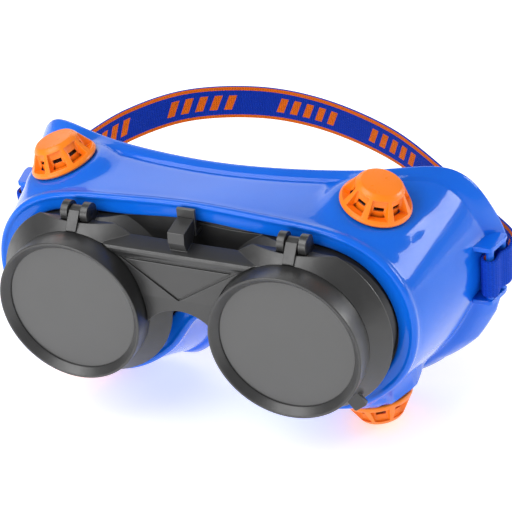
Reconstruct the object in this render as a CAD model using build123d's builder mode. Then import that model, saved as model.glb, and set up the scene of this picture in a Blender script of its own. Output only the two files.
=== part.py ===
"""Flip-front welding goggles, built as separate pieces, in millimetres.

The origin lies on the mid-plane, at the height of the lens axes, in the plane
that the sides of the face seal reach.  +X is the wearer's left, -Y points
forward and +Z points up.  A "depth" is measured backwards from the front edge
of the dark lens rings.
"""
from build123d import *
import os
from math import atan2, cos, hypot, radians, sin

# Overall layout
FACE_DEPTH = 78.0               # face seal plane behind the ring fronts
LENS_X = 40.0                   # lens axis to mid-plane
SIDES = {"right": -1, "left": 1}
LEVELS = {"top": 1, "bottom": -1}

# Soft body
BODY_FRONT = 20.0               # depth of the front flange
BODY_REAR = 84.0                # depth of the station behind the face seal
WALL = 2.2
FLANGE = 6.0                    # front wall thickness, groove included
LIP_WIDTH = 5.5
SEAL_CENTRE = 50.0              # depth of the face seal at the nose
SEAL_REACH = 110.0
SEAL_SIDE = 87.5                # depth of the seal arc at SEAL_REACH

# Half outlines (x, z), from the top of the mid-plane round to its bottom
FLANGE_HALF = [
    (0, 37.7), (28, 36.4), (48, 34.5), (63.6, 29.1), (75.4, 16), (78.9, 0), (75.1, -16.2),
    (66.5, -27.3), (53.8, -35.4), (42, -37.3), (29.6, -35.3), (17.4, -28), (8.6, -18.5), (0, -8.5),
]
TEMPLE_HALF = [
    (0, 34.1), (33.8, 36.2), (64.5, 38.4), (79.2, 38.6), (88.3, 24.9), (94.0, 1.1), (87.5, -19.5),
    (84.3, -29), (80.5, -37.5), (71, -48), (41.5, -53.3), (20.9, -61.7), (13.9, -57.4), (0, -25),
]
# Growth of the edge that meets the face, at each point of the outlines above
LIP_GROWTH = [2, 2, 2, 2.2, 2.4, 2.4, 6, 5.6, 3, 1.8, 1.8, 1.8, 1.8, 1.8]
PLATE_HALF = [
    (0, 31.2), (27, 29.4), (45, 28.6), (58.5, 24.6), (68.9, 13.5), (72.5, 0), (69.1, -14.2),
    (61.3, -23.8), (51, -29.5), (41, -31), (29.5, -29.4), (17.7, -20.2), (10.6, -8.7), (0, -1.5),
]

# Lens plate held in the flange
PLATE_FRONT = 21.2
GROOVE_FRONT = 22.0
PLATE_THICKNESS = 2.1
GROOVE_REACH = 2.5
PLATE_GAP = 0.6                 # visible gap round the raised face of the plate
BOSS_FRONT = 14.2
BOSS_RADIUS = 26.5
BOSS_FOOT_RADIUS = 34.5
SOCKET_RADIUS = 25.15
SIGHT_RADIUS = 24.0

# Lenses
GLASS_RADIUS = 25.0             # 50 mm round lens
DARK_THICKNESS = 3.0
CLEAR_THICKNESS = 2.0
GASKET_INNER = 23.2
GASKET_THICKNESS = 0.8
CLEAR_DEPTH = 16.2
RETAINER_DEPTH = 2.5

# Turning rings on the flip frame
RING_RADIUS = 27.1
RING_BORE = 25.5
RING_DEPTH = 7.5
RING_LIP = 1.2                  # front edge ahead of row 0
BEZEL_DEPTH = 1.8
BEZEL_FLAT = 0.6

# Flip frame
NECK_RADIUS = 25.2
NECK_FRONT = 5.9
CUP_FRONT = 7.8
CUP_REAR = 13.6
CUP_SMALL = 27.0
CUP_LARGE = 33.0
FRAME_WALL = 2.2
FRAME_TOP = 29.5                # flat top of the cups
BRIDGE_ROOF = 24.9              # top of the rounded front edge of the bridge
BRIDGE_SLOPE = ((7.0, 20.9), (5.2, 8.0))    # (depth, z) at the top and foot of its front face
PANEL_HALF = 20.8               # three-cornered panel outlined by a groove
PANEL_DROP = 12.8
PANEL_GROOVE = 0.9
TAB_REACH = 34.5                # lens axis to the end of the finger tab
TAB_LENGTH = 5.4
TAB_WIDTH = 5.6
TAB_THICKNESS = 1.6
RUN_GAP = 0.4                   # air between parts that move past each other

# Hinges
HINGE_DEPTH = 14.5
HINGE_Z = 31.5
ARM_WIDTH = 4.0
ARM_EYE = 2.4
EAR_WIDTH = 2.6
EAR_INSIDE = 2.5                # ear inner face to the middle of its hinge
KNUCKLE_RADIUS = 3.7
PIN_RADIUS = 1.25
PIN_RUN = 0.05

# Detent
CAM_WIDTH = 6.0
CAM_FLAT = 2.0                  # hinge axis to each flat
CAM_FRONT = 8.2
CAM_BOTTOM = 24.6
FLIP_RANGE = 100.0
LEAF_WIDTH = 6.5
LEAF_GAP = 0.2
LEAF_THICKNESS = 1.2
LEAF_TOP = 37.0
LEAF_FOOT = 27.4

# Vents: base centre (x, depth, z) and outward direction, on the left side
VENT_BASE = {"top": (58.9, 40.4, 35.4), "bottom": (57.8, 38.0, -39.6)}
VENT_AXIS = {"top": (0.29, -0.10, 0.95), "bottom": (0.20, -0.10, -0.97)}
CAP_RADIUS = 12.5
CAP_TOP_RADIUS = 7.9
CAP_HEIGHT = 9.4
CAP_WALL = 1.5
CAP_POCKETS = 8
SEAT_RADIUS = 7.6
SEAT_BORE = 6.4
SEAT_TOP = 3.4
PAD_RADIUS = 11.2
PAD_GAP = 0.4
PAD_THICKNESS = 4.8

# Strap and its lugs: bar centres (x, depth) on the left side
FRONT_BAR = (92.0, 61.5)
REAR_BAR = (94.0, 69.6)
BAR_RADIUS = 1.4
LUG_TOP = 12.4
LUG_BOTTOM = -10.6
LUG_ROOF = 1.9
STRAP_WIDTH = 15.0
STRAP_THICKNESS = 1.2
STRAP_SLACK = 0.45              # band to bar
STRAP_CENTRE = 0.9              # height of the band's middle at the lugs
STRAP_TILT = 4.0
STRAP_LOOP = [
    (96.4, 75), (96.1, 77.8), (94.0, 81.2), (88.6, 86.6), (64, 110), (30, 138.5), (-8, 155.5), (-36, 158),
    (-64, 148.5), (-81, 128), (-89.5, 102), (-94, 83.5), (-96.1, 77.9), (-96.4, 75),
]


def row(depth):
    """Y coordinate of a depth."""
    return depth - FACE_DEPTH


def front_plane(depth):
    """Plane that looks forward: its x is X and its y is Z."""
    return Plane(origin=(0, row(depth), 0), x_dir=(1, 0, 0), z_dir=(0, -1, 0))


def side_plane(x):
    """Plane across X: its x is Y and its y is Z."""
    return Plane(origin=(x, 0, 0), x_dir=(0, 1, 0), z_dir=(1, 0, 0))


def lens_plane(side):
    """Half section of a lens mount: its x is the radius and its y the depth."""
    return Plane(origin=(side * LENS_X, row(0), 0), x_dir=(1, 0, 0), z_dir=(0, 0, 1))


def lens_axis(side):
    return Axis((side * LENS_X, 0, 0), (0, 1, 0))


def whole(half):
    """The closed outline of a right half, mirrored in the mid-plane."""
    return half + [(-x, z) for x, z in reversed(half[1:-1])]


def grown(points, distances):
    """A closed outline with each point moved outwards along its normal by its own distance."""
    moved = []
    for index, ((x, z), distance) in enumerate(zip(points, distances)):
        ahead = points[(index + 1) % len(points)]
        behind = points[index - 1]
        run = ahead[0] - behind[0]
        rise = ahead[1] - behind[1]
        scale = distance / hypot(run, rise)
        moved.append((x - rise * scale, z + run * scale))
    return moved


def outline_face(points, depth):
    """A smooth closed outline as a face at one depth."""
    with BuildSketch(front_plane(depth)) as outline:
        with BuildLine():
            Spline(*points, periodic=True)
        make_face()
    return outline.sketch


def widened(points, distance):
    """A closed outline grown evenly."""
    return grown(points, [distance] * len(points))


def wall_outline(depth):
    """Section of the body's outer skin at one depth."""
    share = (depth - BODY_FRONT) / (BODY_REAR - BODY_FRONT)
    half = [
        (a[0] + share * (b[0] - a[0]), a[1] + share * (b[1] - a[1]))
        for a, b in zip(FLANGE_HALF, TEMPLE_HALF)
    ]
    return whole(half)


def wall_face(depth, growth):
    """The skin's section as a face, grown by a distance."""
    return outline_face(widened(wall_outline(depth), growth), depth)


def lip_face(depth):
    """Section of the raised edge, which flares below the temples."""
    growth = LIP_GROWTH + LIP_GROWTH[-2:0:-1]
    return outline_face(grown(wall_outline(depth), growth), depth)


def seal_slab(front, rear):
    """Face in plan between two copies of the face seal's arc, by their centre depth."""
    side_drop = SEAL_SIDE - SEAL_CENTRE
    with BuildSketch(Plane.XY.offset(-FACE_DEPTH)) as slab:
        with BuildLine():
            first = ThreePointArc(
                (-SEAL_REACH, row(front + side_drop)), (0, row(front)), (SEAL_REACH, row(front + side_drop))
            )
            second = ThreePointArc(
                (-SEAL_REACH, row(rear + side_drop)), (0, row(rear)), (SEAL_REACH, row(rear + side_drop))
            )
            Line(first @ 0, second @ 0)
            Line(first @ 1, second @ 1)
        make_face()
    return slab.sketch


def turned(side, points):
    """A ring turned about a lens axis from (radius, depth) corners."""
    with BuildPart() as ring:
        with BuildSketch(lens_plane(side)):
            with BuildLine():
                Polyline(*points, close=True)
            make_face()
        revolve(axis=lens_axis(side))
    return ring.part


def disc(side, radius, front, rear, bore=0.0):
    """A flat disc or ring on a lens axis between two depths."""
    return turned(side, [(bore, front), (radius, front), (radius, rear), (bore, rear)])


def vent_plane(side, level, height=0.0):
    """Plane of a vent's base, facing outwards, raised by a height."""
    x, depth, z = VENT_BASE[level]
    across, forward, up = VENT_AXIS[level]
    base = Plane(origin=(side * x, row(depth), z), x_dir=(0, 1, 0), z_dir=(side * across, forward, up))
    return base.offset(height)


def save(part, name):
    part.label = name
    export_step(part, f"parts/{name}.step")


# Soft body

def make_rim_lip():
    """Raised band round the edge that meets the face."""
    with BuildPart() as rim_lip:
        loft([lip_face(BODY_FRONT), lip_face(BODY_REAR)], ruled=True)
        extrude(seal_slab(SEAL_CENTRE - LIP_WIDTH, SEAL_CENTRE), amount=2 * FACE_DEPTH, mode=Mode.INTERSECT)
    return rim_lip.part


def lug_outline(side):
    """Plan of a lug's roof and floor, from inside the wall to past the bars."""
    front_x, front_depth = FRONT_BAR
    rear_x, rear_depth = REAR_BAR
    return [
        (side * (front_x - 6.2), row(front_depth - 2.4)),
        (side * (front_x + 1.2), row(front_depth - 2.4)),
        (side * (rear_x + 1.6), row(rear_depth - 1.0)),
        (side * (rear_x + 1.6), row(rear_depth + 2.0)),
        (side * (rear_x - 5.2), row(rear_depth + 2.0)),
    ]


def make_goggle_body():
    rim_lip = make_rim_lip()
    plate_outline = whole(PLATE_HALF)
    with BuildPart() as goggle_body:
        loft([wall_face(BODY_FRONT, 0), wall_face(BODY_REAR, 0)], ruled=True)
        extrude(seal_slab(SEAL_CENTRE, SEAL_CENTRE + FACE_DEPTH), amount=2 * FACE_DEPTH, mode=Mode.SUBTRACT)
        add(rim_lip)
        # Flat pads for the vents, sunk where the skin stands higher
        for side in SIDES.values():
            for level in LEVELS:
                with BuildSketch(vent_plane(side, level, -PAD_GAP)):
                    Circle(CAP_RADIUS + 0.6)
                extrude(amount=CAP_HEIGHT, mode=Mode.SUBTRACT)
        # Hollow inside, open to the face
        hollow = [wall_face(BODY_FRONT + FLANGE, -WALL), wall_face(BODY_REAR + WALL, -WALL)]
        loft(hollow, ruled=True, mode=Mode.SUBTRACT)
        for side in SIDES.values():
            for level in LEVELS:
                with BuildSketch(vent_plane(side, level, -PAD_GAP)):
                    Circle(PAD_RADIUS)
                extrude(amount=-PAD_THICKNESS)
                with BuildSketch(vent_plane(side, level)):
                    Circle(SEAT_RADIUS)
                extrude(amount=-2 * PAD_THICKNESS, mode=Mode.SUBTRACT)
                with BuildSketch(vent_plane(side, level, -PAD_GAP - PAD_THICKNESS)):
                    Circle(SEAT_RADIUS + 2)
                extrude(amount=-PAD_THICKNESS, mode=Mode.SUBTRACT)
        # Window for the lens plate, with a groove that holds its border
        extrude(outline_face(plate_outline, BODY_FRONT + FLANGE + 1), amount=FLANGE + 2, mode=Mode.SUBTRACT)
        groove = outline_face(widened(plate_outline, GROOVE_REACH), GROOVE_FRONT + PLATE_THICKNESS)
        extrude(groove, amount=PLATE_THICKNESS, mode=Mode.SUBTRACT)
        # Strap lugs: roof, floor and two round bars on each side
        for side in SIDES.values():
            for level in (LUG_TOP - LUG_ROOF, LUG_BOTTOM):
                with BuildSketch(Plane.XY.offset(level)):
                    with BuildLine():
                        Polyline(*lug_outline(side), close=True)
                    make_face()
                extrude(amount=LUG_ROOF)
            with BuildSketch(Plane.XY.offset(LUG_BOTTOM + LUG_ROOF / 2)):
                for x, depth in (FRONT_BAR, REAR_BAR):
                    with Locations((side * x, row(depth))):
                        Circle(BAR_RADIUS)
            extrude(amount=LUG_TOP - LUG_BOTTOM - LUG_ROOF)
    return goggle_body.part


# Lens plate and the clear lenses behind it

def ear_profile():
    """Side view of a hinge ear: a knuckle on a neck that rises from the boss."""
    with BuildSketch(side_plane(0)) as profile:
        with Locations((row(HINGE_DEPTH), HINGE_Z)):
            Circle(KNUCKLE_RADIUS)
        with BuildLine():
            Polyline(
                (row(14.4), 25.4), (row(14.4), 30.0), (row(18.1), 31.0), (row(19.6), 27.6), (row(19.6), 25.4),
                close=True,
            )
        make_face()
        with Locations((row(HINGE_DEPTH), HINGE_Z)):
            Circle(PIN_RADIUS, mode=Mode.SUBTRACT)
    return profile.sketch


def make_lens_plate():
    plate_outline = whole(PLATE_HALF)
    plate_rear = GROOVE_FRONT + PLATE_THICKNESS
    raised = widened(plate_outline, -PLATE_GAP)
    boss = [(0, BOSS_FRONT), (BOSS_RADIUS, BOSS_FRONT), (BOSS_FOOT_RADIUS, plate_rear), (0, plate_rear)]
    with BuildPart() as lens_plate:
        for side in SIDES.values():
            add(turned(side, boss))
        extrude(outline_face(raised, plate_rear), amount=plate_rear, mode=Mode.INTERSECT)
        border = widened(plate_outline, GROOVE_REACH - 0.1)
        extrude(outline_face(border, plate_rear), amount=PLATE_THICKNESS)
        extrude(outline_face(raised, plate_rear), amount=plate_rear - PLATE_FRONT)
        for side in SIDES.values():
            add(disc(side, SIGHT_RADIUS, BOSS_FRONT - 1, CLEAR_DEPTH + 1), mode=Mode.SUBTRACT)
            add(disc(side, SOCKET_RADIUS, CLEAR_DEPTH, plate_rear + 1), mode=Mode.SUBTRACT)
        for side in SIDES.values():
            for offset in (EAR_INSIDE + EAR_WIDTH / 2, -EAR_INSIDE - EAR_WIDTH / 2):
                ear = ear_profile().moved(Location((side * LENS_X + offset, 0, 0)))
                extrude(ear, amount=EAR_WIDTH / 2, both=True)
        # Slot for the foot of the detent leaf
        with BuildSketch(front_plane(plate_rear + 1)):
            with Locations((0, LEAF_FOOT + LEAF_THICKNESS / 2)):
                Rectangle(LEAF_WIDTH - 1.5, LEAF_THICKNESS)
        extrude(amount=plate_rear, mode=Mode.SUBTRACT)
    return lens_plate.part


def make_clear_lens(side):
    return disc(side, GLASS_RADIUS, CLEAR_DEPTH, CLEAR_DEPTH + CLEAR_THICKNESS)


def make_clear_gasket(side):
    front = CLEAR_DEPTH + CLEAR_THICKNESS
    return disc(side, GLASS_RADIUS, front, front + GASKET_THICKNESS, GASKET_INNER)


def make_clear_retainer(side):
    front = CLEAR_DEPTH + CLEAR_THICKNESS + GASKET_THICKNESS
    return disc(side, SOCKET_RADIUS, front, front + RETAINER_DEPTH, GASKET_INNER)


def make_hinge_pin(side):
    reach = EAR_INSIDE + EAR_WIDTH
    with BuildPart() as hinge_pin:
        with BuildSketch(side_plane(side * LENS_X - reach)):
            with Locations((row(HINGE_DEPTH), HINGE_Z)):
                Circle(PIN_RADIUS)
        extrude(amount=2 * reach)
    return hinge_pin.part


def make_detent_leaf():
    """Springy tongue behind the cam, standing on a foot pushed into the plate."""
    blade_front = HINGE_DEPTH + CAM_FLAT + LEAF_GAP
    blade_rear = blade_front + LEAF_THICKNESS
    foot_top = LEAF_FOOT + LEAF_THICKNESS
    with BuildPart() as detent_leaf:
        with BuildSketch(side_plane(0)):
            with BuildLine():
                Polyline(
                    (row(blade_front), LEAF_FOOT), (row(blade_front), LEAF_TOP), (row(blade_rear), LEAF_TOP),
                    (row(blade_rear), foot_top), (row(PLATE_FRONT), foot_top), (row(PLATE_FRONT), LEAF_FOOT),
                    close=True,
                )
            make_face()
        extrude(amount=LEAF_WIDTH / 2, both=True)
        with BuildSketch(front_plane(GROOVE_FRONT + PLATE_THICKNESS)):
            with Locations((0, LEAF_FOOT + LEAF_THICKNESS / 2)):
                Rectangle(LEAF_WIDTH - 1.5, LEAF_THICKNESS)
        extrude(amount=GROOVE_FRONT + PLATE_THICKNESS - PLATE_FRONT)
    return detent_leaf.part


# Flip frame and the dark lenses

def bridge_profile(inset):
    """Side view of the bridge between the cups, thinned by an inset from the front."""
    (top_depth, top), (foot_depth, foot) = BRIDGE_SLOPE
    rear = CUP_REAR + 1 if inset else CUP_REAR
    roof = BRIDGE_ROOF - inset
    return [
        (row(rear), roof + 1.3), (row(8.4 + inset), roof), (row(7.3 + inset), roof - 0.4),
        (row(6.8 + inset), roof - 1.1), (row(6.7 + inset), roof - 2.1), (row(top_depth + inset), roof - 2.9),
        (row(top_depth + inset), top), (row(foot_depth + inset), foot), (row(4.9 + inset), -4.0),
        (row(rear), -4.0),
    ]


def bridge_part(inset):
    """Bridge form: a front outline with a nose arch, cut to the side profile."""
    with BuildPart() as bridge:
        with BuildSketch(side_plane(0)):
            with BuildLine():
                Polyline(*bridge_profile(inset), close=True)
            make_face()
        extrude(amount=LENS_X - inset, both=True)
        with BuildSketch(front_plane(CUP_REAR + 2)):
            with BuildLine():
                Polyline((-18, -4), (-LENS_X, -4), (-LENS_X, 32), (LENS_X, 32), (LENS_X, -4), (18, -4))
                Line((18, -4), (12.5 + inset, -2.5 + inset))
                ThreePointArc((12.5 + inset, -2.5 + inset), (0, 3.8 + inset), (-12.5 - inset, -2.5 + inset))
                Line((-12.5 - inset, -2.5 + inset), (-18, -4))
            make_face()
        extrude(amount=CUP_REAR + 2, mode=Mode.INTERSECT)
    return bridge.part


def cup_outer(side):
    return turned(side, [(0, CUP_FRONT), (CUP_SMALL, CUP_FRONT), (CUP_LARGE, CUP_REAR), (0, CUP_REAR)])


def cup_inner(side):
    """Space inside a cup, kept below the wall that carries the hinge."""
    opening = CUP_LARGE - FRAME_WALL
    profile = [
        (0, CUP_FRONT - 1), (GASKET_INNER, CUP_FRONT - 1), (GASKET_INNER, CUP_FRONT + 1.4),
        (opening, CUP_REAR), (opening, CUP_REAR + 1), (0, CUP_REAR + 1),
    ]
    with BuildPart() as space:
        add(turned(side, profile))
        with BuildSketch(Plane.XY.offset(FRAME_TOP - 2.8)):
            Rectangle(4 * LENS_X, 4 * LENS_X)
        extrude(amount=2 * CUP_LARGE, mode=Mode.SUBTRACT)
    return space.part


def arm_profile():
    """Side view of a hinge arm: an eye with a wedge that runs down onto the bridge."""
    with BuildSketch(side_plane(0)) as profile:
        with Locations((row(HINGE_DEPTH), HINGE_Z)):
            Circle(ARM_EYE)
        with BuildLine():
            Polyline(
                (row(14.0), 33.7), (row(11.9), 33.2), (row(6.6), 26.4), (row(10.2), 26.4), (row(14.5), 29.2),
                close=True,
            )
        make_face()
        with Locations((row(HINGE_DEPTH), HINGE_Z)):
            Circle(PIN_RADIUS + PIN_RUN, mode=Mode.SUBTRACT)
    return profile.sketch


def cam_profile():
    """Side view of the cam: two flats, one for each stop, meeting behind the axis."""
    lean = radians(FLIP_RANGE - 90)
    rear = HINGE_DEPTH + CAM_FLAT
    top_rear = HINGE_Z + (CAM_FLAT + CAM_FLAT * sin(lean)) / cos(lean)
    top_front = HINGE_Z + (CAM_FLAT + (CAM_FRONT - HINGE_DEPTH) * sin(lean)) / cos(lean)
    with BuildSketch(side_plane(0)) as profile:
        with BuildLine():
            Polyline(
                (row(rear), top_rear), (row(CAM_FRONT), top_front), (row(CAM_FRONT - 0.4), 28.6),
                (row(CAM_FRONT + 1.4), CAM_BOTTOM), (row(12.8), CAM_BOTTOM), (row(rear), 29.6),
                close=True,
            )
        make_face()
    return profile.sketch


def make_flip_frame():
    with BuildPart() as flip_frame:
        add(bridge_part(0))
        add(bridge_part(FRAME_WALL), mode=Mode.SUBTRACT)
        for side in SIDES.values():
            add(cup_outer(side))
        with BuildSketch(Plane.XY.offset(FRAME_TOP)):
            Rectangle(4 * LENS_X, 4 * LENS_X)
        extrude(amount=2 * CUP_LARGE, mode=Mode.SUBTRACT)
        for side in SIDES.values():
            add(cup_inner(side), mode=Mode.SUBTRACT)
            # Room for the ears
            with BuildSketch(side_plane(side * LENS_X)):
                with Locations((row(HINGE_DEPTH), HINGE_Z)):
                    Circle(KNUCKLE_RADIUS + RUN_GAP)
            extrude(amount=EAR_INSIDE + EAR_WIDTH + RUN_GAP, both=True, mode=Mode.SUBTRACT)
            extrude(arm_profile().moved(Location((side * LENS_X, 0, 0))), amount=ARM_WIDTH / 2, both=True)
            # Room for the ring, then the neck inside it
            add(disc(side, RING_RADIUS + RUN_GAP, -1, CUP_FRONT), mode=Mode.SUBTRACT)
            add(disc(side, NECK_RADIUS, NECK_FRONT, CUP_FRONT + 2, GASKET_INNER))
            # Finger tab on the lower outer side of the cup
            tab_plane = Plane(
                origin=(side * LENS_X, row(CUP_REAR - 1.8), 0), x_dir=(side, 0, -1.2), z_dir=(0, -1, 0)
            )
            with BuildSketch(tab_plane):
                with Locations((TAB_REACH - TAB_LENGTH / 2, 0)):
                    RectangleRounded(TAB_LENGTH, TAB_WIDTH, 0.8)
            extrude(amount=TAB_THICKNESS)
        extrude(cam_profile(), amount=CAM_WIDTH / 2, both=True)
        # Groove round a three-cornered panel on the sloping face of the bridge
        (top_depth, top), (foot_depth, foot) = BRIDGE_SLOPE
        lean = atan2(top_depth - foot_depth, top - foot)
        face = Plane(origin=(0, row(top_depth), top), x_dir=(1, 0, 0), z_dir=(0, -cos(lean), sin(lean)))
        with BuildLine(Plane.XY) as panel_edge:
            Polyline((-PANEL_HALF, 0), (0, -PANEL_DROP), (PANEL_HALF, 0), close=True)
        with BuildSketch(face.offset(-PANEL_GROOVE)):
            trace(panel_edge.wire(), line_width=PANEL_GROOVE)
        extrude(amount=PANEL_GROOVE + 1, mode=Mode.SUBTRACT)
    return flip_frame.part


def make_dark_lens(side):
    return disc(side, GLASS_RADIUS, BEZEL_DEPTH, BEZEL_DEPTH + DARK_THICKNESS)


def make_dark_gasket(side):
    front = BEZEL_DEPTH + DARK_THICKNESS
    return disc(side, GLASS_RADIUS, front, front + GASKET_THICKNESS, GASKET_INNER)


def make_lens_ring(side):
    """Ring with a bezel that slopes inwards to the glass."""
    profile = [
        (RING_RADIUS - BEZEL_FLAT, -RING_LIP), (RING_RADIUS, -RING_LIP), (RING_RADIUS, RING_DEPTH),
        (RING_BORE, RING_DEPTH), (RING_BORE, BEZEL_DEPTH), (SIGHT_RADIUS, BEZEL_DEPTH),
        (SIGHT_RADIUS, BEZEL_DEPTH - 0.5),
    ]
    return turned(side, profile)


# Vents

def make_vent_cap(side, level):
    """Hollow frustum with sunk windows between radial ribs."""
    with BuildPart() as vent_cap:
        with BuildSketch(vent_plane(side, level)):
            Circle(CAP_RADIUS)
        with BuildSketch(vent_plane(side, level, CAP_HEIGHT)):
            Circle(CAP_TOP_RADIUS)
        loft()
        with BuildSketch(vent_plane(side, level)):
            Circle(CAP_RADIUS - CAP_WALL)
        with BuildSketch(vent_plane(side, level, CAP_HEIGHT - CAP_WALL)):
            Circle(CAP_TOP_RADIUS - CAP_WALL)
        loft(mode=Mode.SUBTRACT)
        # Collar that grips the seat
        with BuildSketch(vent_plane(side, level)):
            Circle(SEAT_RADIUS + 1.2)
            Circle(SEAT_RADIUS, mode=Mode.SUBTRACT)
        extrude(amount=SEAT_TOP)
        # Web that joins the collar to the skirt
        with BuildSketch(vent_plane(side, level)):
            Circle(CAP_RADIUS - CAP_WALL / 2)
            Circle(SEAT_RADIUS, mode=Mode.SUBTRACT)
        extrude(amount=1.0)
        # Windows through the skirt
        with BuildSketch(vent_plane(side, level, 4.6)):
            with PolarLocations((CAP_RADIUS + CAP_TOP_RADIUS) / 2, CAP_POCKETS):
                Rectangle(5.0, 2.8)
        extrude(amount=2.6, mode=Mode.SUBTRACT)
    return vent_cap.part


def make_vent_seat(side, level):
    """Tube through the body wall with a flange inside and a drilled light baffle."""
    pad_rear = -PAD_GAP - PAD_THICKNESS
    with BuildPart() as vent_seat:
        with BuildSketch(vent_plane(side, level, pad_rear - 1.2)):
            Circle(SEAT_RADIUS + 1.6)
        extrude(amount=1.2)
        with BuildSketch(vent_plane(side, level, pad_rear)):
            Circle(SEAT_RADIUS)
        extrude(amount=SEAT_TOP - pad_rear)
        with BuildSketch(vent_plane(side, level, pad_rear - 1.2)):
            Circle(SEAT_BORE)
        extrude(amount=SEAT_TOP - pad_rear, mode=Mode.SUBTRACT)
        with BuildSketch(vent_plane(side, level, SEAT_TOP)):
            with PolarLocations(4.1, 6):
                Circle(1.3)
            Circle(1.3)
        extrude(amount=-2.4, mode=Mode.SUBTRACT)
    return vent_seat.part


# Head strap

def strap_path():
    """Centre line in plan: tails inside the bars, turns round the front bars, then the loop."""
    turn = BAR_RADIUS + STRAP_SLACK + STRAP_THICKNESS / 2
    rear_x, rear_depth = REAR_BAR
    front_x, front_depth = FRONT_BAR
    back = front_depth - rear_depth
    loop = [(x, depth - rear_depth) for x, depth in STRAP_LOOP]
    with BuildLine() as path:
        for side in SIDES.values():
            outside = (side * (front_x + turn), back)
            inside = (side * (front_x - turn), back)
            Line((side * (rear_x - turn - 0.3), -1.8), inside)
            ThreePointArc(inside, (side * front_x, back - turn), outside)
            Line(outside, (side * (rear_x + turn), 0))
        Spline((rear_x + turn, 0), *loop, (-rear_x - turn, 0))
    return path.wire()


def make_head_strap():
    """One flat band, tilted so that the loop rises towards the back of the head."""
    with BuildSketch() as band:
        trace(strap_path(), line_width=STRAP_THICKNESS)
    with BuildPart() as head_strap:
        extrude(band.sketch, amount=STRAP_WIDTH)
    pivot = Plane(origin=(0, row(REAR_BAR[1]), STRAP_CENTRE))
    return head_strap.part.moved(Location(pivot.rotated((STRAP_TILT, 0, 0)).offset(-STRAP_WIDTH / 2)))


def main():
    os.makedirs("parts", exist_ok=True)
    save(make_goggle_body(), "goggle_body")
    save(make_lens_plate(), "lens_plate")
    save(make_detent_leaf(), "detent_leaf")
    save(make_flip_frame(), "flip_frame")
    save(make_head_strap(), "head_strap")
    for name, side in SIDES.items():
        save(make_clear_lens(side), f"clear_lens_{name}")
        save(make_clear_gasket(side), f"clear_lens_gasket_{name}")
        save(make_clear_retainer(side), f"clear_lens_retainer_{name}")
        save(make_hinge_pin(side), f"hinge_pin_{name}")
        save(make_dark_lens(side), f"dark_lens_{name}")
        save(make_dark_gasket(side), f"dark_lens_gasket_{name}")
        save(make_lens_ring(side), f"lens_ring_{name}")
        for level in LEVELS:
            save(make_vent_cap(side, level), f"vent_cap_{level}_{name}")
            save(make_vent_seat(side, level), f"vent_seat_{level}_{name}")


main()
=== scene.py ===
"""Looks of the flip-front welding goggles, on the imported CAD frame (metres)."""
from math import cos, pi, radians, sin

import bmesh
import bpy
import numpy as np
from mathutils import Matrix, Vector


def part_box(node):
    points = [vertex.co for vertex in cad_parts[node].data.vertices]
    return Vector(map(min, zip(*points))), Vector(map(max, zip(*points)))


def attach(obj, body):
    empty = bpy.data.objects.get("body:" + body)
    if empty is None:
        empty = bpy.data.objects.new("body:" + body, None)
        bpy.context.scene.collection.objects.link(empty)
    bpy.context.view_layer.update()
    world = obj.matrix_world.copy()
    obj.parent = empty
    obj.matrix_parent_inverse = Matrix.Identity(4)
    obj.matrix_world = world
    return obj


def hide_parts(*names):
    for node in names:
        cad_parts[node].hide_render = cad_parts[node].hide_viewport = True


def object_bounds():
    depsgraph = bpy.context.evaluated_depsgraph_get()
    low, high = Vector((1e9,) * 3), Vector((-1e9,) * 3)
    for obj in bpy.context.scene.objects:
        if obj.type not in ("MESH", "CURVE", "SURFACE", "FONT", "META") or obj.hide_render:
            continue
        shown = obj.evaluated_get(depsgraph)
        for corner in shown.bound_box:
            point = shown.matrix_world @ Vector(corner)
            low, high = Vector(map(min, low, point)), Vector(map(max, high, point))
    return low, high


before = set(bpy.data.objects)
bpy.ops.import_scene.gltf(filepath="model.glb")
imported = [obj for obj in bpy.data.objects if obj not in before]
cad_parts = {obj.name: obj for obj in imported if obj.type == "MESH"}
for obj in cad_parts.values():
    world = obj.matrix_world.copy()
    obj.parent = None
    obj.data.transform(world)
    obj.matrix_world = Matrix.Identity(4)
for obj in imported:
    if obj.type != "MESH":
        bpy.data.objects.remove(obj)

CAD_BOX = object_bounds()
MM = 0.001
SIDES = {"left": 1, "right": -1}
LEVELS = ("top", "bottom")

# Places read from the frame
RING_LIP = 1.2                  # front edge of a lens ring ahead of depth 0
RING_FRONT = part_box("lens_ring_left")[0].y + RING_LIP * MM
LENS_X = (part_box("dark_lens_left")[0].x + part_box("dark_lens_left")[1].x) / 2
FLOOR_Z = CAD_BOX[0].z


def at(x, depth, z):
    """Point from millimetres. Depth 0 lies just behind the front edges of the lens rings."""
    return Vector((x * MM, RING_FRONT + depth * MM, z * MM))


# Materials

def shader(name):
    """A new node material and its Principled shader."""
    material = bpy.data.materials.new(name)
    material.use_nodes = True
    return material, material.node_tree.nodes["Principled BSDF"]


def add_node(material, kind, inputs=None, **settings):
    """A node with its settings, and its inputs set or linked by name or number."""
    node = material.node_tree.nodes.new(kind)
    for key, value in settings.items():
        setattr(node, key, value)
    for key, value in (inputs or {}).items():
        if isinstance(value, bpy.types.NodeSocket):
            material.node_tree.links.new(value, node.inputs[key])
        else:
            node.inputs[key].default_value = value
    return node


def math_node(material, operation, first, second=0.0):
    return add_node(material, "ShaderNodeMath", {0: first, 1: second}, operation=operation).outputs[0]


def link(material, socket, target):
    material.node_tree.links.new(socket, target)


def object_place(material):
    return add_node(material, "ShaderNodeTexCoord").outputs["Object"]


def noise(material, scale, detail=2.0, place=None):
    inputs = {"Vector": place or object_place(material), "Scale": scale, "Detail": detail}
    return add_node(material, "ShaderNodeTexNoise", inputs).outputs["Fac"]


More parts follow.
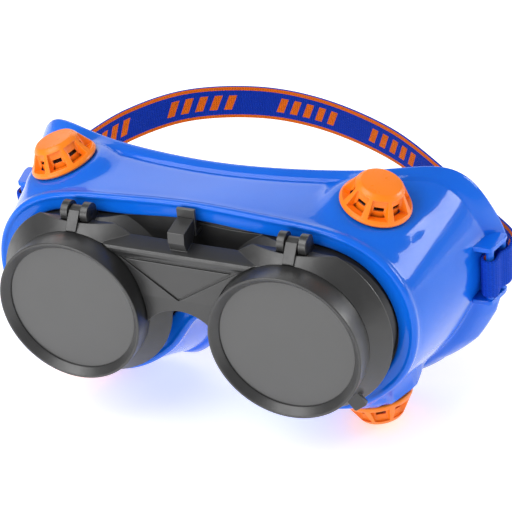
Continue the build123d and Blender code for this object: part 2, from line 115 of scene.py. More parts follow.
def bump(material, height, distance, normal=None, strength=1.0):
    inputs = {"Height": height, "Distance": distance, "Strength": strength}
    if normal is not None:
        inputs["Normal"] = normal
    return add_node(material, "ShaderNodeBump", inputs).outputs["Normal"]


def ramp(material, factor, stops):
    """Colour ramp from (position, colour) stops."""
    node = add_node(material, "ShaderNodeValToRGB", {"Fac": factor})
    elements = node.color_ramp.elements
    while len(elements) < len(stops):
        elements.new(0.5)
    for element, (position, colour) in zip(elements, stops):
        element.position = position
        element.color = (*colour, 1)
    return node.outputs["Color"]


def mix_colour(material, factor, first, second):
    node = add_node(material, "ShaderNodeMix", {0: factor}, data_type="RGBA")
    for key, value in ((6, first), (7, second)):
        if isinstance(value, bpy.types.NodeSocket):
            link(material, value, node.inputs[key])
        else:
            node.inputs[key].default_value = (*value, 1)
    return node.outputs[2]


def soft_vinyl():
    """Glossy blue PVC with slight waves from the mould."""
    material, surface = shader("blue_soft_vinyl")
    tone = noise(material, 35.0, 3.0)
    colour = ramp(material, tone, [(0.3, (0.003, 0.132, 0.73)), (0.7, (0.005, 0.152, 0.8))])
    link(material, colour, surface.inputs["Base Color"])
    surface.inputs["Roughness"].default_value = 0.16
    surface.inputs["Subsurface Weight"].default_value = 0.12
    surface.inputs["Subsurface Radius"].default_value = (0.2, 0.4, 1.0)
    surface.inputs["Subsurface Scale"].default_value = 0.002
    surface.inputs["Specular IOR Level"].default_value = 0.12
    surface.inputs["Coat Weight"].default_value = 0.45
    surface.inputs["Coat Roughness"].default_value = 0.02
    waves = bump(material, noise(material, 55.0, 1.0), 0.0005, strength=0.5)
    link(material, bump(material, noise(material, 1400.0), 0.00003, waves), surface.inputs["Normal"])
    return material


def satin_plastic(name, base, roughness, edge, edge_highlight_colour, specular):
    """Moulded plastic with a fine grain, soft edges and a painted highlight on them."""
    material, surface = shader(name)
    rounded = add_node(material, "ShaderNodeBevel", {"Radius": edge}, samples=6).outputs["Normal"]
    true_normal = add_node(material, "ShaderNodeNewGeometry").outputs["Normal"]
    turn = add_node(
        material, "ShaderNodeVectorMath", {0: rounded, 1: true_normal}, operation="DOT_PRODUCT"
    ).outputs["Value"]
    # Lighter colour along the edges, where the rounded normal turns away: a painted edge highlight.
    edge_highlight_mask = math_node(material, "MULTIPLY", math_node(material, "SUBTRACT", 1.0, turn), 2.5)
    edge_highlight_mask = math_node(material, "MINIMUM", edge_highlight_mask, 0.6)
    shade = mix_colour(material, noise(material, 90.0, 4.0), base, tuple(1.25 * c for c in base))
    link(material, mix_colour(material, edge_highlight_mask, shade, edge_highlight_colour), surface.inputs["Base Color"])
    rough = add_node(
        material, "ShaderNodeMapRange",
        {0: noise(material, 260.0, 5.0), 1: 0.3, 2: 0.7, 3: roughness - 0.05, 4: roughness + 0.07},
    ).outputs[0]
    link(material, rough, surface.inputs["Roughness"])
    surface.inputs["Specular IOR Level"].default_value = specular
    grain = bump(material, noise(material, 2600.0), 0.00003, rounded)
    link(material, grain, surface.inputs["Normal"])
    return material


def dark_filter():
    """Dark filter glass with a grey, slightly hazy face; the grey base colour is a painted reflection of the
    bright surroundings.
    """
    material, surface = shader("dark_filter_glass")
    # Grey base colour: painted reflection of the bright surroundings on the glass.
    stops = [(0.3, (0.064, 0.064, 0.064)), (0.7, (0.068, 0.068, 0.069))]
    link(material, ramp(material, noise(material, 60.0, 3.0), stops), surface.inputs["Base Color"])
    surface.inputs["Roughness"].default_value = 0.3
    surface.inputs["Coat Weight"].default_value = 0.5
    surface.inputs["Coat Roughness"].default_value = 0.02
    return material


def clear_glass():
    """Clear glass with faint smears."""
    material, surface = shader("clear_lens_glass")
    surface.inputs["Base Color"].default_value = (0.93, 0.97, 0.96, 1)
    surface.inputs["IOR"].default_value = 1.5
    surface.inputs["Transmission Weight"].default_value = 1.0
    smears = {0: noise(material, 40.0), 1: 0.3, 2: 0.7, 3: 0.01, 4: 0.03}
    link(material, add_node(material, "ShaderNodeMapRange", smears).outputs[0], surface.inputs["Roughness"])
    return material


def rubber():
    material, surface = shader("gasket_rubber")
    stops = [(0.3, (0.016, 0.016, 0.016)), (0.7, (0.03, 0.03, 0.03))]
    link(material, ramp(material, noise(material, 500.0, 4.0), stops), surface.inputs["Base Color"])
    surface.inputs["Roughness"].default_value = 0.75
    link(material, bump(material, noise(material, 3000.0), 0.00004), surface.inputs["Normal"])
    return material


def pin_steel():
    material, surface = shader("pin_steel")
    surface.inputs["Metallic"].default_value = 1.0
    stops = [(0.3, (0.12, 0.12, 0.12)), (0.7, (0.2, 0.2, 0.2))]
    link(material, ramp(material, noise(material, 700.0, 3.0), stops), surface.inputs["Base Color"])
    surface.inputs["Roughness"].default_value = 0.38
    return material


def in_band(material, value, low, high):
    """1 where a value lies between two limits."""
    above = math_node(material, "GREATER_THAN", value, low)
    below = math_node(material, "LESS_THAN", value, high)
    return math_node(material, "MULTIPLY", above, below)


# Sizes on the strap, in metres
RIB_PITCH = 0.0011
THREAD_PITCH = 0.0009
BORDER = (0.0058, 0.0082)       # from the middle of the band
MOTIF_HALF = 0.0034
MOTIF_PITCH = 0.048
MOTIF_LENGTH = 0.0305
STRIPE_PITCH = 0.0062
STRIPE_LENGTH = 0.0034
STRIPE_SLANT = 0.45


def webbing(name, printed):
    """Woven elastic. Its UV map holds the way along and across the band in metres."""
    material, surface = shader(name)
    uv = add_node(material, "ShaderNodeUVMap", uv_map="band").outputs["UV"]
    parts = add_node(material, "ShaderNodeSeparateXYZ", {"Vector": uv})
    along, across = parts.outputs["X"], parts.outputs["Y"]
    rib = math_node(material, "SINE", math_node(material, "MULTIPLY", along, 2 * pi / RIB_PITCH))
    thread = math_node(material, "SINE", math_node(material, "MULTIPLY", across, 2 * pi / THREAD_PITCH))
    weave = math_node(material, "MULTIPLY", rib, thread)
    relief = math_node(material, "ADD", weave, math_node(material, "MULTIPLY", rib, 0.6))
    blotch = noise(material, 900.0, 3.0)
    dyed = (0.0, 0.032, 0.38) if printed else (0.002, 0.055, 0.52)
    ground = mix_colour(material, blotch, dyed, tuple(1.3 * c for c in dyed))
    if printed:
        distance = math_node(material, "ABSOLUTE", across)
        border = in_band(material, distance, *BORDER)
        slanted = math_node(material, "ADD", along, math_node(material, "MULTIPLY", across, STRIPE_SLANT))
        place = math_node(material, "MODULO", math_node(material, "ADD", slanted, 1.0), MOTIF_PITCH)
        step = math_node(material, "MODULO", place, STRIPE_PITCH)
        stripe = math_node(material, "LESS_THAN", step, STRIPE_LENGTH)
        motif = math_node(material, "MULTIPLY", stripe, math_node(material, "LESS_THAN", place, MOTIF_LENGTH))
        motif = math_node(material, "MULTIPLY", motif, math_node(material, "LESS_THAN", distance, MOTIF_HALF))
        printed_part = math_node(material, "MAXIMUM", border, motif)
        ground = mix_colour(material, printed_part, ground, (0.95, 0.17, 0.004))
    # Colour darker in the hollows of the weave and lighter on its ridges: painted shade and highlight that
    # follow the relief.
    shade = math_node(material, "ADD", math_node(material, "MULTIPLY", relief, 0.12), 0.9)
    weave_shaded_ground = add_node(material, "ShaderNodeVectorMath", {0: ground}, operation="SCALE")
    link(material, shade, weave_shaded_ground.inputs["Scale"])
    link(material, weave_shaded_ground.outputs["Vector"], surface.inputs["Base Color"])
    surface.inputs["Roughness"].default_value = 0.8
    surface.inputs["Specular IOR Level"].default_value = 0.15
    link(material, bump(material, relief, 0.00012), surface.inputs["Normal"])
    return material


VINYL = soft_vinyl()
BLACK = satin_plastic("black_satin_plastic", (0.019, 0.019, 0.0195), 0.34, 0.0004, (0.15, 0.15, 0.15), 0.75)
ORANGE = satin_plastic("orange_plastic", (0.92, 0.21, 0.006), 0.3, 0.00035, (1.0, 0.36, 0.08), 0.4)
DARK_GLASS = dark_filter()
CLEAR_GLASS = clear_glass()
RUBBER = rubber()
STEEL = pin_steel()
WEB_PLAIN = webbing("elastic_webbing", False)
WEB_PRINTED = webbing("elastic_webbing_printed", True)


def paint_nodes():
    """Materials for the CAD nodes that stay in view."""
    kinds = {
        "lens_plate": BLACK, "detent_leaf": BLACK, "flip_frame": BLACK, "clear_lens_retainer": BLACK,
        "vent_seat": BLACK, "clear_lens_gasket": RUBBER, "dark_lens_gasket": RUBBER,
        "clear_lens": CLEAR_GLASS, "dark_lens": DARK_GLASS, "hinge_pin": STEEL,
    }
    for name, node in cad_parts.items():
        matches = [kind for kind in kinds if name.startswith(kind)]
        if matches:
            for held in node.material_slots:
                held.material = kinds[max(matches, key=len)]


# Mesh tools

def mesh_object(name, points, faces, material, smooth=True):
    mesh = bpy.data.meshes.new(name)
    mesh.from_pydata([tuple(p) for p in points], [], faces)
    mesh.validate()
    mesh.materials.append(material)
    for polygon in mesh.polygons:
        polygon.use_smooth = smooth
    piece = bpy.data.objects.new(name, mesh)
    bpy.context.scene.collection.objects.link(piece)
    return piece


def apply_modifiers(piece):
    """Turns a piece's modifiers into plain mesh."""
    evaluated = piece.evaluated_get(bpy.context.evaluated_depsgraph_get())
    mesh = bpy.data.meshes.new_from_object(evaluated)
    piece.modifiers.clear()
    piece.data = mesh
    return piece


def smooth_by_angle(piece, degrees=35):
    piece.data.set_sharp_from_angle(angle=radians(degrees))
    return piece


def bevel(piece, width, segments=3, angle=35):
    """Rounds a piece's edges."""
    modifier = piece.modifiers.new("bevel", "BEVEL")
    modifier.width = width * MM
    modifier.segments = segments
    modifier.limit_method = "ANGLE"
    modifier.angle_limit = radians(angle)
    modifier.harden_normals = True
    return apply_modifiers(piece)


def cut(piece, *cutters):
    """Takes closed cutters out of a piece and deletes them."""
    for cutter in cutters:
        modifier = piece.modifiers.new("cut", "BOOLEAN")
        modifier.operation = "DIFFERENCE"
        modifier.object = cutter
        modifier.solver = "EXACT"
    apply_modifiers(piece)
    for cutter in cutters:
        bpy.data.objects.remove(cutter)
    return piece


def rounded_corners(points, radius, steps=4):
    """A closed polygon with each corner rounded."""
    result = []
    for index, corner in enumerate(points):
        corner = Vector(corner)
        before = Vector(points[index - 1]) - corner
        after = Vector(points[(index + 1) % len(points)]) - corner
        reach = min(radius, before.length * 0.45, after.length * 0.45)
        start = corner + before.normalized() * reach
        end = corner + after.normalized() * reach
        for step in range(steps + 1):
            t = step / steps
            result.append(start * (1 - t) ** 2 + corner * 2 * t * (1 - t) + end * t ** 2)
    return result


def lathe(name, profile, matrix, material, segments=144):
    """A closed profile of (radius, height) in millimetres, turned about local Z."""
    points, faces = [], []
    count = len(profile)
    for turn in range(segments):
        angle = 2 * pi * turn / segments
        for radius, height in profile:
            points.append(matrix @ Vector((radius * cos(angle), radius * sin(angle), height)))
        here, there = turn * count, (turn + 1) % segments * count
        for index in range(count):
            ahead = (index + 1) % count
            faces.append((here + index, there + index, there + ahead, here + ahead))
    piece = mesh_object(name, points, faces, material)
    fix_normals(piece)
    return smooth_by_angle(piece, 40)


def fix_normals(piece):
    """Merges doubled points and turns all faces outwards."""
    work = bmesh.new()
    work.from_mesh(piece.data)
    bmesh.ops.remove_doubles(work, verts=work.verts, dist=1e-7)
    bmesh.ops.recalc_face_normals(work, faces=work.faces)
    work.to_mesh(piece.data)
    work.free()
    return piece


def prism(name, outline, matrix, height, material):
    """An outline in local x and y, in millimetres, raised along local z."""
    count = len(outline)
    points = [matrix @ Vector((x, y, z)) for z in (0, height) for x, y in outline]
    faces = [tuple(reversed(range(count))), tuple(range(count, 2 * count))]
    for index in range(count):
        ahead = (index + 1) % count
        faces.append((index, ahead, count + ahead, count + index))
    return fix_normals(mesh_object(name, points, faces, material, smooth=False))


def lens_matrix(side):
    """Millimetres on a lens axis: local z is the depth."""
    place = Matrix.Translation((side * LENS_X, RING_FRONT, 0))
    return place @ Matrix.Rotation(radians(-90), 4, "X") @ Matrix.Scale(MM, 4)


def finish_piece(piece, body, slot, *nodes):
    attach(piece, body)
    if nodes:
        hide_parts(*nodes)
    return piece


# Soft body

BODY_FRONT = 20.0
BODY_REAR = 84.0
WALL = 2.2
FLANGE = 6.0
GROOVE = (22.0, 24.1)
GROOVE_REACH = 2.5
SEAL_CENTRE = 50.0
SEAL_RADIUS = 180.1             # plan arc of the edge that meets the face
SPAN_STEPS = 10

FLANGE_HALF = [
    (0, 37.7), (28, 36.4), (48, 34.5), (63.6, 29.1), (75.4, 16), (78.9, 0), (75.1, -16.2),
    (66.5, -27.3), (53.8, -35.4), (42, -37.3), (29.6, -35.3), (17.4, -28), (8.6, -18.5), (0, -8.5),
]
TEMPLE_HALF = [
    (0, 34.1), (33.8, 36.2), (64.5, 38.4), (79.2, 38.6), (88.3, 24.9), (94.0, 1.1), (87.5, -19.5),
    (84.3, -29), (80.5, -37.5), (71, -48), (41.5, -53.3), (20.9, -61.7), (13.9, -57.4), (0, -25),
]
# Growth of the edge that meets the face, at each point of the outlines above
LIP_GROWTH = [2, 2, 2, 2.2, 2.4, 2.4, 6, 5.6, 3, 1.8, 1.8, 1.8, 1.8, 1.8]
LIP_WIDTH = 5.5                 # width of the rim where its growth is LIP_LEAST
LIP_LEAST = 2.0
LIP_SPREAD = 0.9                # more width for each millimetre of growth
PLATE_HALF = [
    (0, 31.2), (27, 29.4), (45, 28.6), (58.5, 24.6), (68.9, 13.5), (72.5, 0), (69.1, -14.2),
    (61.3, -23.8), (51, -29.5), (41, -31), (29.5, -29.4), (17.7, -20.2), (10.6, -8.7), (0, -1.5),
]


def smooth_loop(half):
    """Even cubic curve through a half outline and its mirror image."""
    keys = np.array(half + [(-x, z) for x, z in reversed(half[1:-1])], float)
    count = len(keys)
    gaps = np.linalg.norm(np.roll(keys, -1, axis=0) - keys, axis=1)
    system = np.zeros((count, count))
    right = np.zeros((count, 2))
    for i in range(count):
        back, ahead = gaps[i - 1], gaps[i]
        system[i, i - 1] = ahead
        system[i, i] = 2 * (back + ahead)
        system[i, (i + 1) % count] = back
        arriving = (keys[i] - keys[i - 1]) / back
        leaving = (keys[(i + 1) % count] - keys[i]) / ahead
        right[i] = 3 * (ahead * arriving + back * leaving)
    slopes = np.linalg.solve(system, right)
    samples = []
    for i in range(count):
        j = (i + 1) % count
        for step in range(SPAN_STEPS):
            t = step / SPAN_STEPS
            samples.append(
                keys[i] * (2 * t ** 3 - 3 * t ** 2 + 1) + slopes[i] * gaps[i] * (t ** 3 - 2 * t ** 2 + t)
                + keys[j] * (3 * t ** 2 - 2 * t ** 3) + slopes[j] * gaps[i] * (t ** 3 - t ** 2)
            )
    return np.array(samples)


def outward(loop):
    """Unit normals of a clockwise loop."""
    run = np.roll(loop, -1, axis=0) - np.roll(loop, 1, axis=0)
    normals = np.stack([-run[:, 1], run[:, 0]], axis=1)
    return normals / np.linalg.norm(normals, axis=1)[:, None]


FLANGE_LOOP = smooth_loop(FLANGE_HALF)
LIP_KEYS = LIP_GROWTH + LIP_GROWTH[-2::-1]
LIP_LOOP = np.interp(np.arange(len(FLANGE_LOOP)) / SPAN_STEPS, range(len(LIP_KEYS)), LIP_KEYS)
LIP_WIDE = LIP_WIDTH + LIP_SPREAD * (LIP_LOOP - LIP_LEAST)
TEMPLE_LOOP = smooth_loop(TEMPLE_HALF)
PLATE_LOOP = smooth_loop(PLATE_HALF)
PLATE_NORMALS = outward(PLATE_LOOP)


def wall_ring(depths, growth):
    """Points of the skin at given depths, moved outwards by a growth."""
    share = ((depths - BODY_FRONT) / (BODY_REAR - BODY_FRONT))[:, None]
    loop = FLANGE_LOOP + share * (TEMPLE_LOOP - FLANGE_LOOP)
    loop = loop + np.reshape(growth, (-1, 1)) * outward(loop)
    return np.column_stack([loop[:, 0], depths, loop[:, 1]])


def rim_ring(forward, growth):
    """Points a given distance in front of the arc that meets the face."""
    depths = np.full(len(FLANGE_LOOP), SEAL_CENTRE)
    for _ in range(8):
        across = wall_ring(depths, growth)[:, 0]
        depths = SEAL_CENTRE + SEAL_RADIUS - np.sqrt(SEAL_RADIUS ** 2 - across ** 2) - forward
    return wall_ring(depths, growth)


def plate_ring(depth, growth):
    loop = PLATE_LOOP + growth * PLATE_NORMALS
    return np.column_stack([loop[:, 0], np.full(len(loop), depth), loop[:, 1]])


def flat_ring(depth, growth):
    return wall_ring(np.full(len(FLANGE_LOOP), float(depth)), growth)


def between(first, second, share):
    return first + share * (second - first)


# Vents: base centre (x, depth, z) and outward direction, on the left side

VENT_BASE = {"top": (58.9, 40.4, 35.4), "bottom": (57.8, 38.0, -39.6)}
VENT_AXIS = {"top": (0.29, -0.10, 0.95), "bottom": (0.20, -0.10, -0.97)}
CAP_RADIUS = 12.5
CAP_TOP_RADIUS = 7.9
CAP_HEIGHT = 9.4
SEAT_RADIUS = 7.6
PAD_RADIUS = 11.2
PAD_GAP = 0.4
PAD_THICKNESS = 4.8
LEVEL_REACH = 19.0              # the skin is level round a vent, and blends out up to this radius
LEVEL_BLEND = 5.5
LEVEL_HEIGHT = 7                # skin further from the vent's base than this stays
SKIN_SINK = 0.3


def vent_matrix(side, level):
    """Millimetres on a vent: local z points outwards from its base."""
    x, depth, z = VENT_BASE[level]
    outwards = Vector(VENT_AXIS[level]).normalized()
    outwards.x *= side
    across = Vector((0, 1, 0))
    across = (across - outwards * across.dot(outwards)).normalized()
    turn = Matrix((across, outwards.cross(across), outwards)).transposed().to_4x4()
    return Matrix.Translation(at(side * x, depth, z)) @ turn @ Matrix.Scale(MM, 4)


def level_pads(points):
    """Draws the outer skin to the level of each vent, with a soft edge, so that its cap sits flat."""
    lowered = points.copy()
    for side in SIDES.values():
        for level in LEVELS:
            inverse = np.array(vent_matrix(side, level).inverted())
            matrix = np.array(vent_matrix(side, level))
            local = lowered @ inverse[:3, :3].T + inverse[:3, 3]
            reach = np.hypot(local[:, 0], local[:, 1])
            weight = np.clip((LEVEL_REACH - reach) / LEVEL_BLEND, 0, 1)
            weight = weight * weight * (3 - 2 * weight)
            near = np.abs(local[:, 2]) < LEVEL_HEIGHT
            target = np.where(near, -PAD_GAP - SKIN_SINK, local[:, 2])
            local[:, 2] += weight * (target - local[:, 2])
            lowered = local @ matrix[:3, :3].T + matrix[:3, 3]
    return lowered


def make_body():
    """The whole soft body as one skin of rings, from the window round the rim and back inside."""
    rings = [
        plate_ring(GROOVE[0], 0), plate_ring(20.5, 0), plate_ring(20.1, 0.3), plate_ring(BODY_FRONT, 0.9),
    ]
    inner, outer = plate_ring(BODY_FRONT, 0.9), flat_ring(BODY_FRONT, -2.6)
    rings += [between(inner, outer, share) for share in (0.33, 0.66, 1.0)]
    rings += [
        flat_ring(19.9, -2.1), flat_ring(19.55, -1.5), flat_ring(19.5, -0.9), flat_ring(19.8, -0.3),
        flat_ring(20.5, 0.05), flat_ring(21.4, 0.0), flat_ring(22.2, -0.35), flat_ring(23.2, -0.45),
        flat_ring(25.0, -0.35), flat_ring(28.0, -0.25),
    ]
    start, end = flat_ring(28.0, -0.25), rim_ring(1.45 * LIP_WIDE, 0.0)
    rings += [between(start, end, step / 9) for step in range(1, 10)]
    # Rim: share of its width in front of the seal, growth in millimetres, and share of LIP_LOOP
    lip = [
        (1.2, -0.1, 0.0), (1.06, -0.15, 0.0), (0.97, -0.25, 0.0), (0.92, -0.1, 0.05), (0.87, 0.0, 0.22),
        (0.8, 0.0, 0.42), (0.7, 0.0, 0.58), (0.52, 0.0, 0.76), (0.36, 0.0, 0.88), (0.22, 0.0, 0.97),
        (0.12, 0.0, 1.0), (0.05, -0.2, 0.98), (0.0, -0.8, 0.95),
    ]
    rings += [rim_ring(width * LIP_WIDE, extra + share * LIP_LOOP) for width, extra, share in lip]
    outer_rings = len(rings)
    rings += [rim_ring(0.0, 0.0), rim_ring(0.2, -1.1), rim_ring(0.9, -1.9), rim_ring(2.0, -WALL)]
    start, end = rim_ring(2.0, -WALL), flat_ring(30.0, -WALL)
    rings += [between(start, end, step / 8) for step in range(1, 9)]
    rear = BODY_FRONT + FLANGE
    rings += [
        flat_ring(27.2, -2.5), flat_ring(26.3, -3.2), flat_ring(rear, -4.0), plate_ring(rear, 1.0),
        plate_ring(25.7, 0.2), plate_ring(25.2, 0), plate_ring(GROOVE[1], 0),
        plate_ring(GROOVE[1], GROOVE_REACH), plate_ring(GROOVE[0], GROOVE_REACH),
    ]
    count = len(FLANGE_LOOP)
    points = np.concatenate(rings) * MM
    points[:, 1] += RING_FRONT
    points[:outer_rings * count] = level_pads(points[:outer_rings * count])
    faces = []
    for row in range(len(rings)):
        here, there = row * count, (row + 1) % len(rings) * count
        for index in range(count):
            ahead = (index + 1) % count
            faces.append((here + index, here + ahead, there + ahead, there + index))
    body = fix_normals(mesh_object("body_skin", points, faces, VINYL))
    holes = [
        lathe("hole", [(0.0, -12.0), (SEAT_RADIUS + 0.05, -12.0), (SEAT_RADIUS + 0.05, 6.0), (0.0, 6.0)],
              vent_matrix(side, level), VINYL, 64)
        for side in SIDES.values() for level in LEVELS
    ]
    cut(body, *holes)
    for polygon in body.data.polygons:
        polygon.use_smooth = True
    smooth_by_angle(body, 50)
    return finish_piece(body, "goggles", "soft_blue", "goggle_body")


def make_vent_pad(side, name, level):
    """Thick round seat of the body under a vent cap."""
    profile = rounded_corners([
        (SEAT_RADIUS + 0.02, -PAD_GAP - PAD_THICKNESS), (PAD_RADIUS + 0.8, -PAD_GAP - PAD_THICKNESS),
        (PAD_RADIUS, -PAD_GAP), (SEAT_RADIUS + 0.02, -PAD_GAP),
    ], 0.5)
    pad = lathe(f"vent_pad_{level}_{name}", profile, vent_matrix(side, level), VINYL, 96)
    return finish_piece(pad, "goggles", "soft_blue")


# Strap lugs

FRONT_BAR = (92.0, 61.5)
REAR_BAR = (94.0, 69.6)
BAR_RADIUS = 1.4
LUG_TOP = 12.4
LUG_BOTTOM = -10.6
LUG_ROOF = 1.9


def make_lug(side, name):
    """Roof, floor and the two bars that hold the strap."""
    front_x, front_depth = FRONT_BAR
    rear_x, rear_depth = REAR_BAR
    outline = [
        (front_x - 6.2, front_depth - 2.4), (front_x + 1.2, front_depth - 2.4),
        (rear_x + 1.6, rear_depth - 1.0), (rear_x + 1.6, rear_depth + 2.0), (rear_x - 5.2, rear_depth + 2.0),
    ]
    outline = rounded_corners(outline, 1.2)
    for part, height in (("roof", LUG_TOP - LUG_ROOF), ("floor", LUG_BOTTOM)):
        place = Matrix.Translation((0, RING_FRONT, 0)) @ Matrix.Diagonal((side * MM, MM, MM, 1))
        place = place @ Matrix.Translation((0, 0, height))
        lug = prism(f"lug_{part}_{name}", outline, place, LUG_ROOF, VINYL)
        finish_piece(bevel(lug, 0.55), "goggles", "soft_blue")
    for part, (x, depth) in (("front", FRONT_BAR), ("rear", REAR_BAR)):
        length = LUG_TOP - LUG_BOTTOM - LUG_ROOF
        profile = [(0.0, 0.0), (BAR_RADIUS, 0.0), (BAR_RADIUS, length), (0.0, length)]
        place = Matrix.Translation(at(side * x, depth, LUG_BOTTOM + LUG_ROOF / 2)) @ Matrix.Scale(MM, 4)
        finish_piece(lathe(f"lug_bar_{part}_{name}", profile, place, VINYL, 32), "goggles", "soft_blue")


# Strap

STRAP_WIDTH = 15.0
STRAP_THICKNESS = 1.2
STRAP_SLACK = 0.45
STRAP_CENTRE = 0.9
STRAP_TILT = 4.0
STRAP_DIP = 1.0                 # dip of the strap between the two bars
STRAP_LOOP = [
    (96.4, 75), (96.1, 77.8), (94.0, 81.2), (88.6, 86.6), (64, 110), (30, 138.5), (-8, 155.5), (-36, 158),
    (-64, 148.5), (-81, 128), (-89.5, 102), (-94, 83.5), (-96.1, 77.9), (-96.4, 75),
]


def through(points, step=0.8):
    """Points every step along a smooth open curve through the given ones."""
    keys = [Vector(p) for p in points]
    keys = [2 * keys[0] - keys[1], *keys, 2 * keys[-1] - keys[-2]]
    result = []
    for i in range(1, len(keys) - 2):
        a, b, c, d = keys[i - 1:i + 3]
        gaps = [max((q - p).length ** 0.5, 1e-6) for p, q in ((a, b), (b, c), (c, d))]
        first = (b - a) / gaps[0] - (c - a) / (gaps[0] + gaps[1]) + (c - b) / gaps[1]
        last = (c - b) / gaps[1] - (d - b) / (gaps[1] + gaps[2]) + (d - c) / gaps[2]
        first, last = first * gaps[1], last * gaps[1]
        pieces = max(2, int((c - b).length / step))
        for k in range(pieces):
            t = k / pieces
            result.append(
                b * (2 * t ** 3 - 3 * t ** 2 + 1) + first * (t ** 3 - 2 * t ** 2 + t)
                + c * (3 * t ** 2 - 2 * t ** 3) + last * (t ** 3 - t ** 2)
            )
    return result + [keys[-2]]


def strap_line():
    """Centre line in plan, from one hidden tail to the other."""
    turn = BAR_RADIUS + STRAP_SLACK + STRAP_THICKNESS / 2
    front_x, front_depth = FRONT_BAR
    rear_x, rear_depth = REAR_BAR
    halves = {}
    for side in SIDES.values():
        tail = [(side * (rear_x - turn - 0.3), rear_depth - 1.8), (side * (front_x - turn), front_depth)]
        around = [
            (side * (front_x - turn * cos(a)), front_depth - turn * sin(a))
            for a in (radians(d) for d in (45, 90, 135))
        ]
        dip_x, dip_depth = (front_x + rear_x) / 2 + turn - STRAP_DIP, (front_depth + rear_depth) / 2
        outside = [
            (side * (front_x + turn), front_depth), (side * dip_x, dip_depth),
            (side * (rear_x + turn), rear_depth),
        ]
        halves[side] = tail + around + outside
    return through(halves[1] + STRAP_LOOP + halves[-1][::-1])


def make_strap():
    """Flat woven band with soft edges, printed on the face towards the head."""
    line = strap_line()
    half = STRAP_WIDTH / 2
    thick = STRAP_THICKNESS / 2
    outline = [
        (-half, 0.0), (-half + 0.15, thick * 0.75), (-half + 0.7, thick), (-half * 0.5, thick),
        (0, thick), (half * 0.5, thick), (half - 0.7, thick), (half - 0.15, thick * 0.75), (half, 0.0),
    ]
    section = outline + [(across, -out) for across, out in reversed(outline[1:-1])]
    tilt = Matrix.Translation(at(0, REAR_BAR[1], STRAP_CENTRE)) @ Matrix.Rotation(radians(STRAP_TILT), 4, "X")
    points, lengths = [], []
    walked = 0.0
    for i, here in enumerate(line):
        if i:
            walked += (here - line[i - 1]).length
        lengths.append(walked)
        direction = (line[min(i + 1, len(line) - 1)] - line[max(i - 1, 0)]).normalized()
        out = Vector((direction.y, -direction.x))
        for across, lift in section:
            flat = here + out * lift
            points.append(tilt @ (Vector((flat.x, flat.y - REAR_BAR[1], across)) * MM))
    count = len(section)
    faces, printed, marks = [], [], []
    for i in range(len(line) - 1):
        for k in range(count):
            ahead = (k + 1) % count
            faces.append((i * count + k, (i + 1) * count + k, (i + 1) * count + ahead, i * count + ahead))
            printed.append(len(outline) <= k < count - 1)
            marks.append([(lengths[i], section[k][0]), (lengths[i + 1], section[k][0]),
                          (lengths[i + 1], section[ahead][0]), (lengths[i], section[ahead][0])])
    faces += [tuple(reversed(range(count))), tuple(range((len(line) - 1) * count, len(line) * count))]
    printed += [False, False]
    marks += [[(0.0, 0.0)] * count] * 2
    strap = mesh_object("strap_band", points, faces, WEB_PLAIN)
    strap.data.materials.append(WEB_PRINTED)
    layer = strap.data.uv_layers.new(name="band")
    for polygon, inside, corners in zip(strap.data.polygons, printed, marks):
        polygon.material_index = int(inside)
        for loop, (along, across) in zip(polygon.loop_indices, corners):
            layer.data[loop].uv = (along * MM, across * MM)
    return finish_piece(strap, "goggles", "woven_elastic", "head_strap")


# Vent caps

CAP_POCKETS = 8
CAP_INSIDE = 7.6                # height of the cap's inner roof


def make_cap(side, name, level):
    """Fluted orange cap: ribs between sunk pockets, each with a window."""
    matrix = vent_matrix(side, level)
    profile = rounded_corners([
        (0.0, CAP_INSIDE), (CAP_TOP_RADIUS - 2.0, CAP_INSIDE), (CAP_RADIUS - 2.6, 0.0),
        (CAP_RADIUS - 0.3, 0.0), (CAP_RADIUS, 0.5), (CAP_RADIUS - 0.15, 1.2),
        (CAP_TOP_RADIUS, CAP_HEIGHT - 0.9), (CAP_TOP_RADIUS - 1.0, CAP_HEIGHT), (0.0, CAP_HEIGHT),
    ], 0.35, 3)
    profile[0:4] = [Vector((0.0, CAP_INSIDE))]
    profile[-4:] = [Vector((0.0, CAP_HEIGHT))]
    cap = lathe(f"cap_{level}_{name}", profile, matrix, ORANGE, 128)
    cutters = []
    root, end, sill = 8.5, 14.5, 1.6
    lean = Matrix.Translation((root, 0, sill)) @ Matrix.Rotation(radians(-9), 4, "Y")
    lean = lean @ Matrix.Translation((-root, 0, 0))
    for index in range(CAP_POCKETS):
        spin = matrix @ Matrix.Rotation(2 * pi * (index + 0.5) / CAP_POCKETS, 4, "Z")
        pocket = rounded_corners([(root, -2.5), (end, -4.5), (end, 4.5), (root, 2.5)], 0.6, 3)
        cutters.append(prism("pocket", pocket, spin @ lean, 6.0, ORANGE))
        window = [(5.0, -1.7), (10.0, -1.7), (10.0, 1.7), (5.0, 1.7)]
        cutters.append(prism("window", window, spin @ Matrix.Translation((0, 0, 2.3)), 2.6, ORANGE))
    collar_profile = [(SEAT_RADIUS + 0.02, 0.0), (8.2, 0.0), (8.2, 3.4), (SEAT_RADIUS + 0.02, 3.4)]
    collar = lathe("collar", collar_profile, matrix, ORANGE, 96)
    cut(cap, *cutters)
    smooth_by_angle(cap, 30)
    finish_piece(collar, "goggles", "orange_plastic")
    collar.name = f"cap_collar_{level}_{name}"
    return finish_piece(cap, "goggles", "orange_plastic", f"vent_cap_{level}_{name}")


# Lens rings

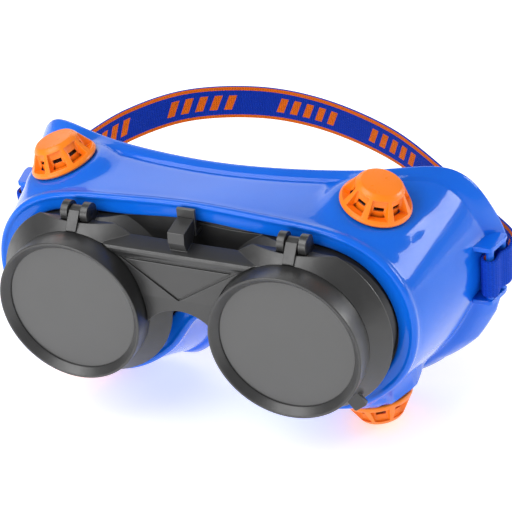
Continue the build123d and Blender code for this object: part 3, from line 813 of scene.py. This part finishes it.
def make_ring(side, name):
    """Turning ring with a bezel that falls inwards to the glass and soft edges."""
    outer, bore, sight = 27.1, 25.5, 24.0
    depth, glass = 7.5, 1.8
    profile = rounded_corners([
        (outer - 0.75, -RING_LIP), (outer, 0.1 - RING_LIP), (outer, depth), (bore, depth),
        (bore, glass), (sight, glass), (sight, glass - 0.45),
    ], 0.35, 4)
    ring = lathe(f"ring_{name}", profile, lens_matrix(side), BLACK, 192)
    return finish_piece(ring, f"ring_{name}", "black_plastic", f"lens_ring_{name}")


# Camera, floor and light

CAMERA_PLACE = (225.184, -409.893, 300.511)     # x, depth, z
CAMERA_AZIMUTH = 25.19
CAMERA_ELEVATION = 28.76
CAMERA_ROLL = -4.71


def make_camera():
    camera = bpy.data.objects.new("camera", bpy.data.cameras.new("camera"))
    place = Matrix.Rotation(radians(CAMERA_AZIMUTH), 4, "Z")
    place = place @ Matrix.Rotation(radians(90 - CAMERA_ELEVATION), 4, "X")
    place = place @ Matrix.Rotation(radians(CAMERA_ROLL), 4, "Z")
    place.translation = at(*CAMERA_PLACE)
    camera.matrix_world = place
    camera.data.lens = 115.71
    camera.data.sensor_width = 36
    camera.data.shift_x = 0.0091
    camera.data.shift_y = -0.0967
    bpy.context.scene.collection.objects.link(camera)
    bpy.context.scene.camera = camera


def make_area_light(name, place, target, size, power):
    """White rectangular lamp that faces a target."""
    lamp = bpy.data.lights.new(name, "AREA")
    lamp.shape = "RECTANGLE"
    lamp.size, lamp.size_y = size
    lamp.energy = power
    light = bpy.data.objects.new(name, lamp)
    light.location = place
    light.rotation_euler = (Vector(target) - Vector(place)).to_track_quat("-Z", "Y").to_euler()
    bpy.context.scene.collection.objects.link(light)


def make_stage():
    """White floor, a dim white world and four lamps."""
    floor_material, surface = shader("pale_floor")
    surface.inputs["Base Color"].default_value = (0.92, 0.92, 0.92, 1)
    surface.inputs["Roughness"].default_value = 0.9
    surface.inputs["Emission Color"].default_value = (1, 1, 1, 1)
    surface.inputs["Emission Strength"].default_value = 0.5
    size = 6.0
    floor = mesh_object(
        "floor", [(x, y, FLOOR_Z) for x, y in ((-size, -size), (size, -size), (size, size), (-size, size))],
        [(0, 1, 2, 3)], floor_material,
    )
    world = bpy.data.worlds.new("studio")
    world.use_nodes = True
    world.node_tree.nodes["Background"].inputs["Color"].default_value = (1, 1, 1, 1)
    world.node_tree.nodes["Background"].inputs["Strength"].default_value = 0.4
    bpy.context.scene.world = world
    bpy.context.scene.view_settings.view_transform = "Standard"
    make_area_light("key", (-0.35, -0.6, 0.8), (0, -0.04, 0), (0.8, 0.7), 7)
    make_area_light("front", (-0.42, -1.05, 0.16), (0, -0.06, 0), (0.7, 0.34), 3.2)
    make_area_light("side", (0.8, 0.44, 0.28), (0.06, -0.04, 0), (0.42, 0.3), 3)
    make_area_light("back", (-0.42, 0.88, 0.56), (0, 0, 0), (1.0, 0.6), 2.6)


make_camera()
make_stage()
paint_nodes()
make_body()
make_strap()
for side_name, side_sign in SIDES.items():
    make_ring(side_sign, side_name)
    make_lug(side_sign, side_name)
    for level_name in LEVELS:
        make_vent_pad(side_sign, side_name, level_name)
        make_cap(side_sign, side_name, level_name)
